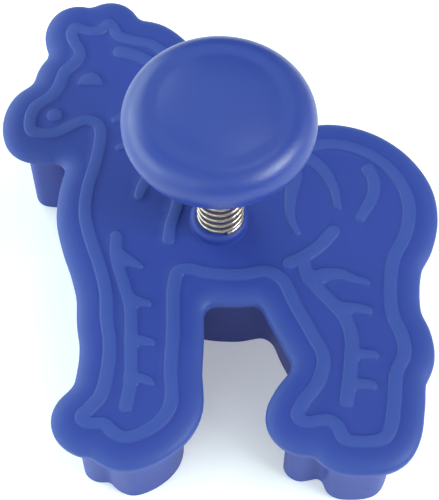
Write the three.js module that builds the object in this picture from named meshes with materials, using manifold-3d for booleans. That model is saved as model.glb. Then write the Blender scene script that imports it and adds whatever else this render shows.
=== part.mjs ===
// Spring-return cookie stamp in the outline of a standing zebra.
// Millimetres, +Z up. The cutting edge stands on z = 0, and the flange is centred on x = y = 0.
import * as THREE from 'three';
import { mergeVertices } from 'three/addons/utils/BufferGeometryUtils.js';
import Module from 'manifold-3d';

// Figure: its height from the hoofs to the ear tip, and where the plunger stands in the drawing of it
const FIGURE_HEIGHT = 66.6;
const PLUNGER_X = 0.3;
const PLUNGER_Y = 0.0;

// Cutter body: a flanged plate with a skirt under it that ends in a bevelled cutting lip.
// The wall's faces and the flange's edge are counted from the figure's line.
const SKIRT_HEIGHT = 17.5;
const WALL_OUTSIDE = 1.15;
const WALL_INSIDE = 0.3;
const LIP_WIDTH = 0.7;
const LIP_HEIGHT = 0.9;
const FLANGE_REACH = 4.1;
const FLANGE_CORNER = 1.5;
const CREST_RISE = 0.7;
const CREST_START = 27;
const CREST_END = 36;
const PLATE_THICKNESS = 2.0;
const FLANGE_ROUNDING_WIDTH = 3.0;
const FLANGE_ROUNDING_HEIGHT = 1.2;

// Raised drawing on the plate and, as the embossing relief, on the stamp
const LINE_WIDTH = 1.55;
const LINE_HEIGHT = 0.35;
const STRIPE_WIDTH = 1.8;
const NOSTRIL_DIAMETER = 2.1;
const EYE_WIDTH = 3.4;
const EYE_HEIGHT = 2.1;
const RELIEF_DEPTH = 1.0;

// Collar on the plate: guides the stem, and the spring stands on it
const COLLAR_MARGIN = 0.775;
const COLLAR_HEIGHT = 2.0;
const COLLAR_ROUNDING = 0.5;

// Stem, the rod that joins the knob and the stamp
const STEM_DIAMETER = 4.4;
const STEM_CHAMFER = 0.4;

// Return spring of round wire, loose round the stem
const SPRING_LOOSENESS = 0.425;
const WIRE_DIAMETER = 0.65;
const SPRING_PITCH = 1.36;

// Knob: a button with a round rim that tucks in to its lower edge, a low domed cap on its top and a core
// round its hub
const KNOB_DIAMETER = 24.4;
const KNOB_RIM_RADIUS = 3.4;
const KNOB_TUCK = 1.9;
const KNOB_RISE = 22.4;
const CAP_BORDER = 1.1;
const CAP_RISE = 0.6;
const KNOB_HUB_WALL = 1.225;
const KNOB_HUB_DROP = 3.5;
const KNOB_LEDGE = 0.2;
const KNOB_WALL = 3.38;
const KNOB_POCKET = 4.2;
const KNOB_SOCKET_WEB = 1.98;

// Stamp: the embossing plate inside the skirt, with the hub that stops it under the plate
const STAMP_THICKNESS = 2.2;
const STAMP_HUB_WALL = 2.1;
const STAMP_HUB_HEIGHT = 3.5;
const STAMP_SOCKET_WEB = 1.3;

// Clearances
const RUNNING_GAP = 0.3;
const STAMP_GAP = 0.35;
const SEAT_GAP = 0.2;
const END_GAP = 0.3;

// Fineness of the facets
const FIGURE_SAMPLES = 900;
const LENGTH_SAMPLES = 4;
const CHORD_ERROR = 0.07;
const OFFSET_SLACK = 0.01;
const CORNER_STEP = 0.05;
const ROUNDING_STEPS = 4;
const TURN_SEGMENTS = 32;
const KNOB_SEGMENTS = 40;
const CAP_STEPS = 4;
const RIM_STEPS = 10;
const STRIPE_STEPS = 3;
const STRIPE_END_STEPS = 3;
const NOSTRIL_STEPS = 10;
const EYE_STEPS = 8;
const SPRING_STEPS = 8;
const WIRE_SIDES = 5;
const JOIN_DEPTH = 0.2;
const CUT_MARGIN = 1.0;

// The figure's closed line, anticlockwise from above
const FIGURE_LINE = [
  // forelock, face, muzzle and throat
  [-21.0, 33.3], [-21.6, 32.2], [-21.2, 30.8], [-20.2, 28.7], [-20.8, 27.0], [-22.3, 25.2], [-23.0, 22.7],
  [-24.3, 20.6], [-26.2, 18.9], [-26.8, 16.6], [-26.4, 14.8], [-25.2, 14.4], [-22.8, 14.5], [-20.8, 15.7],
  [-18.7, 16.6], [-17.1, 16.0], [-16.6, 14.4],
  // neck, chest and front leg down to the hoof
  [-17.0, 10.0], [-18.0, 5.2], [-18.2, 1.0], [-17.3, -2.9], [-15.9, -7.0], [-14.9, -11.0], [-14.6, -15.2],
  [-14.1, -18.6], [-14.2, -22.2], [-15.0, -26.2], [-16.2, -27.8], [-17.3, -29.2], [-16.5, -30.0],
  [-14.3, -30.2], [-13.0, -31.4], [-11.6, -32.0], [-9.4, -31.3], [-7.0, -29.4],
  // back of the front leg, belly and front of the hind leg
  [-5.9, -27.2], [-6.0, -22.5], [-5.8, -17.0], [-5.8, -10.5], [-5.2, -8.0], [-3.9, -7.6], [-1.0, -8.3],
  [3.0, -8.5], [6.8, -8.0], [8.8, -9.2], [10.4, -12.8], [12.6, -17.4], [14.0, -20.8], [13.2, -24.2],
  // hind hoof and the back of the hind leg
  [11.1, -27.2], [10.4, -29.0], [11.3, -29.9], [14.2, -29.6], [15.5, -30.5], [16.3, -32.2], [18.8, -32.6],
  [21.2, -32.1], [22.2, -30.6], [22.9, -27.0], [23.4, -23.0], [24.6, -20.2], [24.5, -17.8], [23.4, -14.6],
  // haunch, back, mane and ear
  [23.3, -10.4], [24.1, -5.8], [25.8, -2.4], [26.6, 1.2], [26.2, 4.8], [24.0, 8.6], [20.6, 11.3],
  [16.5, 12.5], [12.0, 12.0], [8.0, 12.2], [4.0, 13.8], [0.5, 17.5], [-3.0, 22.8], [-6.8, 27.6],
  [-9.8, 30.2], [-12.6, 30.9], [-14.6, 31.7], [-15.5, 33.2], [-16.1, 34.0], [-17.0, 33.2], [-18.0, 32.6],
  [-19.6, 32.7],
];

// Stripes: the centre line of each, with its width at the first and at the last point in stripe widths
const STRIPES = [
  // mane and neck
  { path: [[-14.2, 28.8], [-11.2, 27.8], [-8.2, 25.4], [-5.2, 21.2], [-3.0, 17.6]], widths: [1.1, 0.45] },
  { path: [[-14.6, 16.7], [-11.8, 18.2], [-8.4, 19.0]], widths: [0.45, 1] },
  { path: [[-13.9, 11.9], [-10.8, 13.2], [-7.0, 13.8]], widths: [0.45, 1] },
  // shoulder
  { path: [[-10.8, 4.0], [-10.2, 6.0], [-8.4, 8.6]], widths: [0.65, 1] },
  { path: [[-6.6, -3.0], [-6.3, -0.6], [-5.5, 2.3], [-5.3, 5.4]], widths: [0.8, 0.8] },
  // front leg
  {
    path: [
      [-13.8, -2.5], [-13.6, -6.2], [-12.4, -10.2], [-11.6, -13.0], [-11.3, -19.2], [-11.2, -24.4],
      [-11.7, -27.8],
    ],
    widths: [0.8, 0.85],
  },
  { path: [[-13.2, -5.8], [-11.6, -6.6], [-10.45, -7.2]], widths: [1.2, 0.4] },
  { path: [[-11.5, -12.45], [-10.4, -12.65], [-9.3, -12.9]], widths: [1, 0.5] },
  { path: [[-11.3, -18.3], [-10.0, -18.4], [-8.8, -18.6]], widths: [0.95, 0.6] },
  { path: [[-11.2, -23.8], [-9.6, -23.9], [-8.75, -24.3]], widths: [0.85, 0.6] },
  // flank and haunch
  { path: [[11.0, -1.9], [10.2, 0.4], [10.3, 4.0], [11.0, 7.4]], widths: [0.45, 1] },
  { path: [[16.8, 2.2], [16.4, 5.0], [15.2, 7.8], [13.5, 9.8]], widths: [0.45, 1] },
  { path: [[21.3, 8.3], [22.0, 6.4], [21.7, 4.0], [19.8, 0.4]], widths: [0.95, 0.65] },
  { path: [[16.0, -1.7], [14.3, -3.75], [12.4, -5.3], [9.8, -6.7]], widths: [0.9, 0.9] },
  // hind leg
  {
    path: [
      [11.7, -6.3], [12.3, -8.6], [13.9, -11.0], [15.6, -13.0], [17.1, -15.1], [17.8, -18.0],
      [17.5, -22.0], [16.75, -27.1],
    ],
    widths: [0.9, 0.9],
  },
  { path: [[12.9, -9.2], [14.9, -8.5], [16.8, -8.5], [18.6, -9.25], [20.1, -9.65]], widths: [1.25, 0.48] },
  { path: [[16.3, -13.5], [18.4, -13.6], [20.1, -13.95]], widths: [0.95, 0.65] },
  { path: [[17.7, -20.4], [19.2, -20.35], [20.6, -20.45]], widths: [0.8, 0.62] },
  { path: [[17.3, -24.6], [18.7, -24.65], [20.0, -24.75]], widths: [0.85, 0.75] },
];
const NOSTRIL = [-23.3, 17.5];
const EYE = [-18.45, 22.85];

// Diameters that follow from the stem's
const SPRING_DIAMETER = STEM_DIAMETER + 2 * (SPRING_LOOSENESS + WIRE_DIAMETER);
const SPRING_POCKET_DIAMETER = SPRING_DIAMETER + 2 * RUNNING_GAP;
const COLLAR_DIAMETER = SPRING_DIAMETER + 2 * COLLAR_MARGIN;
const KNOB_HUB_DIAMETER = SPRING_POCKET_DIAMETER + 2 * KNOB_HUB_WALL;
const SOCKET_DIAMETER = STEM_DIAMETER + 2 * SEAT_GAP;
const STAMP_HUB_DIAMETER = SOCKET_DIAMETER + 2 * STAMP_HUB_WALL;

// Heights that follow from the driving dimensions
const PLATE_BOTTOM = SKIRT_HEIGHT;
const PLATE_TOP = PLATE_BOTTOM + PLATE_THICKNESS;
const COLLAR_TOP = PLATE_TOP + COLLAR_HEIGHT;
const KNOB_BOTTOM = PLATE_TOP + KNOB_RISE;
const KNOB_RIM_HEIGHT = KNOB_BOTTOM + KNOB_TUCK;
const CAP_EDGE = KNOB_RIM_HEIGHT + KNOB_RIM_RADIUS;
const KNOB_HUB_BOTTOM = KNOB_BOTTOM - KNOB_HUB_DROP;
const SPRING_HEAD = KNOB_HUB_BOTTOM + KNOB_POCKET;
const KNOB_SOCKET_TOP = CAP_EDGE - KNOB_SOCKET_WEB;
const KNOB_CORE_TOP = CAP_EDGE - KNOB_WALL;
const STAMP_HUB_TOP = PLATE_BOTTOM - END_GAP;
const STAMP_TOP = STAMP_HUB_TOP - STAMP_HUB_HEIGHT;
const STAMP_BOTTOM = STAMP_TOP - STAMP_THICKNESS;
const STAMP_SOCKET_FLOOR = STAMP_BOTTOM + STAMP_SOCKET_WEB;

const wasm = await Module();
wasm.setup();

// Plane curves

const drawnHeights = FIGURE_LINE.map(([, y]) => y);
const drawnScale = FIGURE_HEIGHT / (Math.max(...drawnHeights) - Math.min(...drawnHeights));

function drawn(points) {
  return points.map(([x, y]) => new THREE.Vector2(x - PLUNGER_X, y - PLUNGER_Y).multiplyScalar(drawnScale));
}

// Evenly spaced points on a smooth curve through the given ones
function smooth(knots, closed, count) {
  const points = knots.map(({ x, y }) => new THREE.Vector3(x, y, 0));
  const curve = new THREE.CatmullRomCurve3(points, closed, 'centripetal');
  curve.arcLengthDivisions = LENGTH_SAMPLES * count;
  const line = curve.getSpacedPoints(count).map(({ x, y }) => new THREE.Vector2(x, y));
  return closed ? line.slice(0, -1) : line;
}

// Direction to the right of travel between two points: outwards on an anticlockwise closed line
function rightOf(from, to) {
  const along = to.clone().sub(from).normalize();
  return new THREE.Vector2(along.y, -along.x);
}

function rightward(line, i, closed) {
  const last = line.length - 1;
  const before = line[closed ? (i + last) % line.length : Math.max(i - 1, 0)];
  const after = line[closed ? (i + 1) % line.length : Math.min(i + 1, last)];
  return rightOf(before, after);
}

function distanceToChord(point, from, to) {
  const chord = to.clone().sub(from);
  return Math.abs(chord.cross(point.clone().sub(from))) / chord.length();
}

// Places of the points that stay when a straight run stands for the others within the chord error
function kept(line) {
  const places = [0];
  for (let to = 2; to < line.length; to += 1) {
    const from = places.at(-1);
    const between = line.slice(from + 1, to);
    if (between.some((point) => distanceToChord(point, line[from], line[to]) > CHORD_ERROR)) {
      places.push(to - 1);
    }
  }
  return places;
}

function thin(line) {
  return kept(line).map((i) => line[i]);
}

// Closed line at a constant distance outside a closed line, or inside it where the distance is negative.
// Where it goes round the outside of a corner, it goes in steps.
function offset(line, distance) {
  const moved = line.flatMap((point, i) => {
    const from = rightOf(line.at(i - 1), point);
    const to = rightOf(point, line[(i + 1) % line.length]);
    const outside = from.cross(to) * distance > 0;
    const steps = outside ? Math.ceil(from.angleTo(to) / CORNER_STEP) : 1;
    return Array.from({ length: steps }, (_, k) => (
      point.clone().addScaledVector(from.clone().lerp(to, (k + 0.5) / steps).normalize(), distance)
    ));
  });
  const limit = Math.abs(distance) - OFFSET_SLACK;
  const clear = moved.filter((point) => line.every((other) => point.distanceTo(other) > limit));
  return smooth(clear, true, FIGURE_SAMPLES);
}

// Thinned lines at several depths inside a closed line, all with the same number of points
function insets(line, depths) {
  const places = kept(line);
  return depths.map((depth) => (
    places.map((i) => line[i].clone().addScaledVector(rightward(line, i, true), -depth))
  ));
}

// Flange outline: round in its inner corners, and drawn out a little over the crest of the head
function flange(line) {
  const rounded = offset(offset(line, FLANGE_REACH + FLANGE_CORNER), -FLANGE_CORNER);
  const [from, to] = drawn([[0, CREST_START], [0, CREST_END]]).map(({ y }) => y);
  const rise = (y) => CREST_RISE * THREE.MathUtils.smoothstep(y, from, to);
  return rounded.map(({ x, y }) => new THREE.Vector2(x, y + rise(y)));
}

// Arc of an ellipse from the +X side round to an angle
function ellipse(point, width, height, angle, steps) {
  const [centre] = drawn([point]);
  return new THREE.EllipseCurve(centre.x, centre.y, width / 2, height, 0, angle).getPoints(steps);
}

// Outline of a stripe with round ends
function stripeOutline({ path, widths: [startWidth, endWidth] }) {
  const line = smooth(drawn(path), false, STRIPE_STEPS * (path.length - 1));
  const share = (i) => THREE.MathUtils.lerp(startWidth, endWidth, i / (line.length - 1));
  const halfWidth = (i) => (STRIPE_WIDTH * share(i)) / 2;
  const edge = (side) => line.map((point, i) => (
    point.clone().addScaledVector(rightward(line, i, false), side * halfWidth(i))
  ));
  const right = edge(1);
  const left = edge(-1);
  const roundEnd = (centre, start) => Array.from({ length: STRIPE_END_STEPS - 1 }, (_, k) => (
    start.clone().rotateAround(centre, (Math.PI * (k + 1)) / STRIPE_END_STEPS)
  ));
  const head = line.at(-1);
  return [...right, ...roundEnd(head, right.at(-1)), ...left.reverse(), ...roundEnd(line[0], left.at(-1))];
}

// Solids

// Closed body of a geometry: shared corners are merged and the faces point out
function solid(geometry) {
  geometry.deleteAttribute('normal');
  geometry.deleteAttribute('uv');
  const merged = mergeVertices(geometry);
  const position = merged.attributes.position;
  const corner = (i) => new THREE.Vector3().fromBufferAttribute(position, i);
  const faces = [];
  let volume = 0;
  for (let i = 0; i < merged.index.count; i += 3) {
    const [a, b, c] = [0, 1, 2].map((k) => merged.index.getX(i + k));
    if (a !== b && b !== c && c !== a) {
      faces.push([a, b, c]);
      volume += corner(a).dot(corner(b).cross(corner(c)));
    }
  }
  const facesOut = volume > 0 ? faces : faces.map(([a, b, c]) => [a, c, b]);
  return new wasm.Manifold(new wasm.Mesh({
    numProp: 3,
    vertProperties: new Float32Array(position.array),
    triVerts: new Uint32Array(facesOut.flat()),
  }));
}

function prism(outline, low, high) {
  const settings = { depth: high - low, bevelEnabled: false };
  const geometry = new THREE.ExtrudeGeometry(new THREE.Shape(outline), settings);
  return solid(geometry.translate(0, 0, low));
}

// Turned body about the plunger axis, from a profile of [radius, height] points
function turned(profile, segments) {
  const points = profile.map(([radius, height]) => new THREE.Vector2(radius, height));
  return solid(new THREE.LatheGeometry(points, segments).rotateX(Math.PI / 2));
}

// Skin of a stack of rings that all have the same number of points
function stack(rings) {
  const count = rings[0].outline.length;
  const positions = rings.flatMap(({ outline, z }) => outline.flatMap((point) => [point.x, point.y, z]));
  const index = [];
  for (let ring = 0; ring + 1 < rings.length; ring += 1) {
    for (let i = 0; i < count; i += 1) {
      const a = ring * count + i;
      const b = ring * count + ((i + 1) % count);
      index.push(a, b, b + count, a, b + count, a + count);
    }
  }
  const top = count * (rings.length - 1);
  for (const [a, b, c] of THREE.ShapeUtils.triangulateShape(rings[0].outline, [])) {
    index.push(a, c, b);
  }
  for (const [a, b, c] of THREE.ShapeUtils.triangulateShape(rings.at(-1).outline, [])) {
    index.push(a + top, b + top, c + top);
  }
  const geometry = new THREE.BufferGeometry();
  geometry.setAttribute('position', new THREE.Float32BufferAttribute(positions, 3));
  geometry.setIndex(index);
  return solid(geometry);
}

function join(bodies) {
  return bodies.reduce((whole, body) => whole.add(body));
}

// The drawing inside the figure: stripes, nostril and eye
function drawing(low, high) {
  const nostril = ellipse(NOSTRIL, NOSTRIL_DIAMETER, NOSTRIL_DIAMETER / 2, 2 * Math.PI, NOSTRIL_STEPS);
  const eye = ellipse(EYE, EYE_WIDTH, EYE_HEIGHT, Math.PI, EYE_STEPS);
  const outlines = [...STRIPES.map(stripeOutline), nostril.slice(1), eye];
  return join(outlines.map((outline) => prism(outline, low, high)));
}

// Sub-parts

const figure = smooth(drawn(FIGURE_LINE), true, FIGURE_SAMPLES);
const flangeLine = flange(figure);

function cutterBody() {
  const [skirt, lip] = insets(offset(figure, WALL_OUTSIDE), [0, WALL_OUTSIDE + WALL_INSIDE - LIP_WIDTH]);
  const skirtBody = stack([
    { outline: lip, z: 0 },
    { outline: skirt, z: LIP_HEIGHT },
    { outline: skirt, z: PLATE_BOTTOM + JOIN_DEPTH },
  ]);
  const edgeHeight = Math.min(FLANGE_ROUNDING_HEIGHT, PLATE_THICKNESS);
  const edgeWidth = Math.min(FLANGE_ROUNDING_WIDTH, FLANGE_REACH - LINE_WIDTH / 2);
  const turns = Array.from({ length: ROUNDING_STEPS + 1 }, (_, k) => (Math.PI / 2) * (k / ROUNDING_STEPS));
  const edge = insets(flangeLine, turns.map((turn) => edgeWidth * (1 - Math.cos(turn))));
  const plate = stack([
    { outline: edge[0], z: PLATE_BOTTOM },
    ...turns.map((turn, k) => ({ outline: edge[k], z: PLATE_TOP - edgeHeight * (1 - Math.sin(turn)) })),
  ]);
  const cavity = prism(thin(offset(figure, -WALL_INSIDE)), -CUT_MARGIN, PLATE_BOTTOM);
  const lineTop = PLATE_TOP + LINE_HEIGHT;
  const lineFoot = PLATE_TOP - JOIN_DEPTH;
  const lineInside = thin(offset(figure, -LINE_WIDTH / 2));
  const line = prism(thin(offset(figure, LINE_WIDTH / 2)), lineFoot, lineTop)
    .subtract(prism(lineInside, PLATE_TOP - CUT_MARGIN, lineTop + CUT_MARGIN));
  const collarRounding = Math.min(COLLAR_ROUNDING, COLLAR_MARGIN);
  const collarBevel = collarRounding * (1 - Math.SQRT1_2);
  const collar = turned([
    [0, lineFoot],
    [COLLAR_DIAMETER / 2, lineFoot],
    [COLLAR_DIAMETER / 2, COLLAR_TOP - collarRounding],
    [COLLAR_DIAMETER / 2 - collarBevel, COLLAR_TOP - collarBevel],
    [COLLAR_DIAMETER / 2 - collarRounding, COLLAR_TOP],
    [0, COLLAR_TOP],
  ], TURN_SEGMENTS);
  const guide = STEM_DIAMETER / 2 + RUNNING_GAP;
  const bore = turned([
    [0, PLATE_BOTTOM - CUT_MARGIN],
    [guide, PLATE_BOTTOM - CUT_MARGIN],
    [guide, COLLAR_TOP + CUT_MARGIN],
    [0, COLLAR_TOP + CUT_MARGIN],
  ], TURN_SEGMENTS);
  const skirtWall = skirtBody.subtract(cavity);
  return join([skirtWall, plate, line, drawing(lineFoot, lineTop), collar]).subtract(bore);
}

function stampPlate() {
  const outline = thin(offset(figure, -WALL_INSIDE - STAMP_GAP));
  const plate = prism(outline, STAMP_BOTTOM, STAMP_TOP);
  const relief = drawing(STAMP_BOTTOM - RELIEF_DEPTH, STAMP_BOTTOM + JOIN_DEPTH);
  const hub = turned([
    [0, STAMP_TOP - JOIN_DEPTH],
    [STAMP_HUB_DIAMETER / 2, STAMP_TOP - JOIN_DEPTH],
    [STAMP_HUB_DIAMETER / 2, STAMP_HUB_TOP],
    [0, STAMP_HUB_TOP],
  ], TURN_SEGMENTS);
  const socket = turned([
    [0, STAMP_SOCKET_FLOOR],
    [SOCKET_DIAMETER / 2, STAMP_SOCKET_FLOOR],
    [SOCKET_DIAMETER / 2, STAMP_HUB_TOP + CUT_MARGIN],
    [0, STAMP_HUB_TOP + CUT_MARGIN],
  ], TURN_SEGMENTS);
  return join([plate, relief, hub]).subtract(socket);
}

function plungerStem() {
  const low = STAMP_SOCKET_FLOOR + END_GAP;
  const high = KNOB_SOCKET_TOP - END_GAP;
  const radius = STEM_DIAMETER / 2;
  return turned([
    [0, low],
    [radius - STEM_CHAMFER, low],
    [radius, low + STEM_CHAMFER],
    [radius, high - STEM_CHAMFER],
    [radius - STEM_CHAMFER, high],
    [0, high],
  ], TURN_SEGMENTS);
}

function knob() {
  const rimCentre = KNOB_DIAMETER / 2 - KNOB_RIM_RADIUS;
  const lowerEdge = -Math.asin(KNOB_TUCK / KNOB_RIM_RADIUS);
  const rim = Array.from({ length: RIM_STEPS + 1 }, (_, k) => {
    const turn = THREE.MathUtils.lerp(lowerEdge, Math.PI / 2, k / RIM_STEPS);
    return [rimCentre + KNOB_RIM_RADIUS * Math.cos(turn), KNOB_RIM_HEIGHT + KNOB_RIM_RADIUS * Math.sin(turn)];
  });
  const cap = Array.from({ length: CAP_STEPS + 1 }, (_, k) => {
    const share = 1 - k / CAP_STEPS;
    return [(rimCentre - CAP_BORDER) * share, CAP_EDGE + CAP_RISE * (1 - share ** 4)];
  });
  const hub = KNOB_HUB_DIAMETER / 2;
  const core = rimCentre - KNOB_LEDGE;
  const pocket = SPRING_POCKET_DIAMETER / 2;
  const socket = SOCKET_DIAMETER / 2;
  return turned([
    [0, KNOB_SOCKET_TOP],
    [socket, KNOB_SOCKET_TOP],
    [socket, SPRING_HEAD],
    [pocket, SPRING_HEAD],
    [pocket, KNOB_HUB_BOTTOM],
    [hub, KNOB_HUB_BOTTOM],
    [hub, KNOB_CORE_TOP],
    [core, KNOB_CORE_TOP],
    [core, KNOB_BOTTOM],
    ...rim,
    ...cap,
  ], KNOB_SEGMENTS);
}

// One unbroken wire from the collar's top into the knob's pocket
function returnSpring() {
  const wire = WIRE_DIAMETER / 2;
  const coil = SPRING_DIAMETER / 2 - wire;
  const low = COLLAR_TOP + END_GAP + wire;
  const high = SPRING_HEAD - END_GAP - wire;
  const turns = (high - low) / SPRING_PITCH;
  const steps = Math.round(turns * SPRING_STEPS);
  const slope = Math.atan2(SPRING_PITCH, 2 * Math.PI * coil);
  const centres = [];
  const positions = [];
  for (let step = 0; step <= steps; step += 1) {
    const share = step / steps;
    const turn = 2 * Math.PI * turns * share;
    const out = new THREE.Vector3(Math.cos(turn), Math.sin(turn), 0);
    const across = new THREE.Vector3(out.y * Math.sin(slope), -out.x * Math.sin(slope), Math.cos(slope));
    const centre = out.clone().multiplyScalar(coil).setZ(THREE.MathUtils.lerp(low, high, share));
    centres.push(centre);
    for (let side = 0; side < WIRE_SIDES; side += 1) {
      const angle = (2 * Math.PI * side) / WIRE_SIDES;
      const point = centre.clone().addScaledVector(out, wire * Math.cos(angle));
      positions.push(...point.addScaledVector(across, wire * Math.sin(angle)).toArray());
    }
  }
  const nearest = Math.min(...centres.flatMap((centre, i) => (
    centres.slice(i + SPRING_STEPS / 2).map((other) => centre.distanceTo(other))
  )));
  console.log(`return_spring: least gap between its turns ${(nearest - WIRE_DIAMETER).toFixed(2)} mm`);
  const index = [];
  for (let step = 0; step < steps; step += 1) {
    for (let side = 0; side < WIRE_SIDES; side += 1) {
      const a = step * WIRE_SIDES + side;
      const b = step * WIRE_SIDES + ((side + 1) % WIRE_SIDES);
      index.push(a, b, b + WIRE_SIDES, a, b + WIRE_SIDES, a + WIRE_SIDES);
    }
  }
  const last = steps * WIRE_SIDES;
  for (let side = 1; side + 1 < WIRE_SIDES; side += 1) {
    index.push(0, side + 1, side, last, last + side, last + side + 1);
  }
  const geometry = new THREE.BufferGeometry();
  geometry.setAttribute('position', new THREE.Float32BufferAttribute(positions, 3));
  geometry.setIndex(index);
  return solid(geometry);
}

// Materials

const bluePlastic = new THREE.MeshStandardMaterial({ color: 0x3f57b4, roughness: 0.45, metalness: 0 });
const knobPlastic = new THREE.MeshStandardMaterial({ color: 0x4460bd, roughness: 0.4, metalness: 0 });
const stampPlastic = new THREE.MeshStandardMaterial({ color: 0x3a50a8, roughness: 0.5, metalness: 0 });
const springSteel = new THREE.MeshStandardMaterial({ color: 0xc9cacc, roughness: 0.25, metalness: 1 });

// Assembly

function subPart(name, body, material) {
  const { vertProperties, triVerts } = body.getMesh();
  const geometry = new THREE.BufferGeometry();
  geometry.setAttribute('position', new THREE.BufferAttribute(vertProperties, 3));
  geometry.setIndex(new THREE.BufferAttribute(triVerts, 1));
  geometry.computeVertexNormals();
  const mesh = new THREE.Mesh(geometry, material);
  mesh.name = name;
  return mesh;
}

const cookieStamp = new THREE.Group();
cookieStamp.add(
  subPart('cutter_body', cutterBody(), bluePlastic),
  subPart('stamp_plate', stampPlate(), stampPlastic),
  subPart('plunger_stem', plungerStem(), knobPlastic),
  subPart('return_spring', returnSpring(), springSteel),
  subPart('knob', knob(), knobPlastic),
);
const flangeCentre = new THREE.Box2().setFromPoints(thin(flangeLine)).getCenter(new THREE.Vector2());
cookieStamp.position.set(-flangeCentre.x, -flangeCentre.y, 0);

export default cookieStamp;
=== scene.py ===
"""Looks of a spring-return cookie stamp in the outline of a zebra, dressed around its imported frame."""
import math

import bmesh
import bpy
import numpy as np
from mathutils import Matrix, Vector, geometry, kdtree


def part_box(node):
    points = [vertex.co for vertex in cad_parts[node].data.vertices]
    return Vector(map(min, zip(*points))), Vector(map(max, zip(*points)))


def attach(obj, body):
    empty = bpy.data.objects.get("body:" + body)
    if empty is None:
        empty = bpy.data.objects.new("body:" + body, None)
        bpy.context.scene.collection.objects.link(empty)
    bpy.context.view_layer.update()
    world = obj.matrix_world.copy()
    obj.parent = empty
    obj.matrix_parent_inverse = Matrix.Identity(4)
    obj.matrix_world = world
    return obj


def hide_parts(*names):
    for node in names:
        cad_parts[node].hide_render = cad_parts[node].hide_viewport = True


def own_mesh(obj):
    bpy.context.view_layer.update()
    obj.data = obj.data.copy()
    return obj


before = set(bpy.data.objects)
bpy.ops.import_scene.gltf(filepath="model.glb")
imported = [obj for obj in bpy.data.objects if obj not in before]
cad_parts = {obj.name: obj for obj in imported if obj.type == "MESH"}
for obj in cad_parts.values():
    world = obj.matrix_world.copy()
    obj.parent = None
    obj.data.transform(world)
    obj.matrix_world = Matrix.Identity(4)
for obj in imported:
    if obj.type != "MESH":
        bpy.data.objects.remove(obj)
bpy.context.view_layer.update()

# Lengths are millimetres unless a comment says metres, and a mesh is made in metres
MM = 0.001

# Sizes read from the frame
stem_low, stem_high = (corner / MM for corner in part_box("plunger_stem"))
knob_low, knob_high = (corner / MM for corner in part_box("knob"))
stamp_low, stamp_high = (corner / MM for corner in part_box("stamp_plate"))
body_low, body_high = (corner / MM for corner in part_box("cutter_body"))
AXIS = np.array([(stem_low.x + stem_high.x) / 2, (stem_low.y + stem_high.y) / 2])
STEM_RADIUS = (stem_high.x - stem_low.x) / 2
KNOB_RADIUS = (knob_high.x - knob_low.x) / 2

# Cutter body, as in the solid: wall and flange are counted from the figure's line
FIGURE_HEIGHT = 66.6
PLUNGER_X = 0.3
SKIRT_HEIGHT = 17.5
PLATE_TOP = 19.5
WALL_OUTSIDE = 1.15
WALL_INSIDE = 0.3
WALL_CORNER = 0.5
WALL_FILLET = 0.4
LIP_WIDTH = 0.7
LIP_HEIGHT = 0.9
LIP_ROUNDING_WIDTH = 0.048
LIP_ROUNDING_HEIGHT = 0.12
FLANGE_REACH = 4.1
FLANGE_CORNER = 1.5
FLANGE_ROUNDING_WIDTH = 3.0
FLANGE_ROUNDING_HEIGHT = 1.2
FLANGE_UNDER_EDGE = 0.22
CREST_RISE = 0.7
CREST_START = 27.0
CREST_END = 36.0

# Raised drawing; a flank falls from its top to its foot at these distances from a line's edge
LINE_WIDTH = 1.55
LINE_HEIGHT = 0.24
STRIPE_WIDTH = 1.8
NOSTRIL_RADIUS = 1.05
EYE_WIDTH = 3.4
EYE_HEIGHT = 2.1
FLANK_TOP = -0.06
FLANK_FOOT = 0.22
MERGE = 0.3
RELIEF_DEPTH = 1.0

# Clearances
RUNNING_GAP = 0.3
STAMP_GAP = 0.35
SEAT_GAP = 0.2
END_GAP = 0.3

# Spring
WIRE_RADIUS = 0.325
SPRING_LOOSENESS = 0.425
SPRING_PITCH = 1.36
COIL_RADIUS = STEM_RADIUS + SPRING_LOOSENESS + WIRE_RADIUS
CLOSED_TURNS = 0.8
CLOSED_PITCH = 0.67
OPENING_TURNS = 0.25
WIRE_START = math.radians(-72)
FOOT_SHIFT = (0.18, -0.34)
FOOT_REST = 0.03
COIL_STEPS = 40
WIRE_SIDES = 12

# Collar, its top a little lower than the solid's
COLLAR_SET = 0.4
COLLAR_TOP = body_high.z - COLLAR_SET
COLLAR_RADIUS = 4.05
COLLAR_FILLET = 0.08
COLLAR_ROUNDING = 0.9
BORE_CHAMFER = 0.15
POCKET_RADIUS = COIL_RADIUS + WIRE_RADIUS + RUNNING_GAP
GUIDE_RADIUS = STEM_RADIUS + RUNNING_GAP
SOCKET_RADIUS = STEM_RADIUS + SEAT_GAP

# Knob
KNOB_RIM_RADIUS = 3.4
KNOB_TUCK = 1.9
KNOB_LOWER_EDGE = 0.18
CAP_BORDER = 1.1
CAP_RISE = 0.6
CAP_FOOT = 0.06
CAP_POWER = 2.6
KNOB_HUB_RADIUS = 4.8
HUB_CHAMFER = 0.2
HUB_ROUNDING = 0.3
KNOB_LEDGE = 0.2
KNOB_WALL = 3.38
KNOB_POCKET = 4.2
KNOB_SOCKET_WEB = 1.98
KNOB_TOP = knob_high.z
KNOB_HUB_BOTTOM = knob_low.z
SPRING_HEAD = KNOB_HUB_BOTTOM + KNOB_POCKET

# Stem and stamp
STEM_CHAMFER = 0.4
STAMP_THICKNESS = 2.2
STAMP_EDGE = 0.25
STAMP_BACK_EDGE = 0.1
STAMP_HUB_RADIUS = 4.5
STAMP_HUB_FILLET = 0.4
STAMP_HUB_ROUNDING = 0.25
STAMP_SOCKET_WEB = 1.3
STAMP_BOTTOM = stamp_low.z + RELIEF_DEPTH
STAMP_TOP = STAMP_BOTTOM + STAMP_THICKNESS
STAMP_HUB_TOP = stamp_high.z

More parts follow.
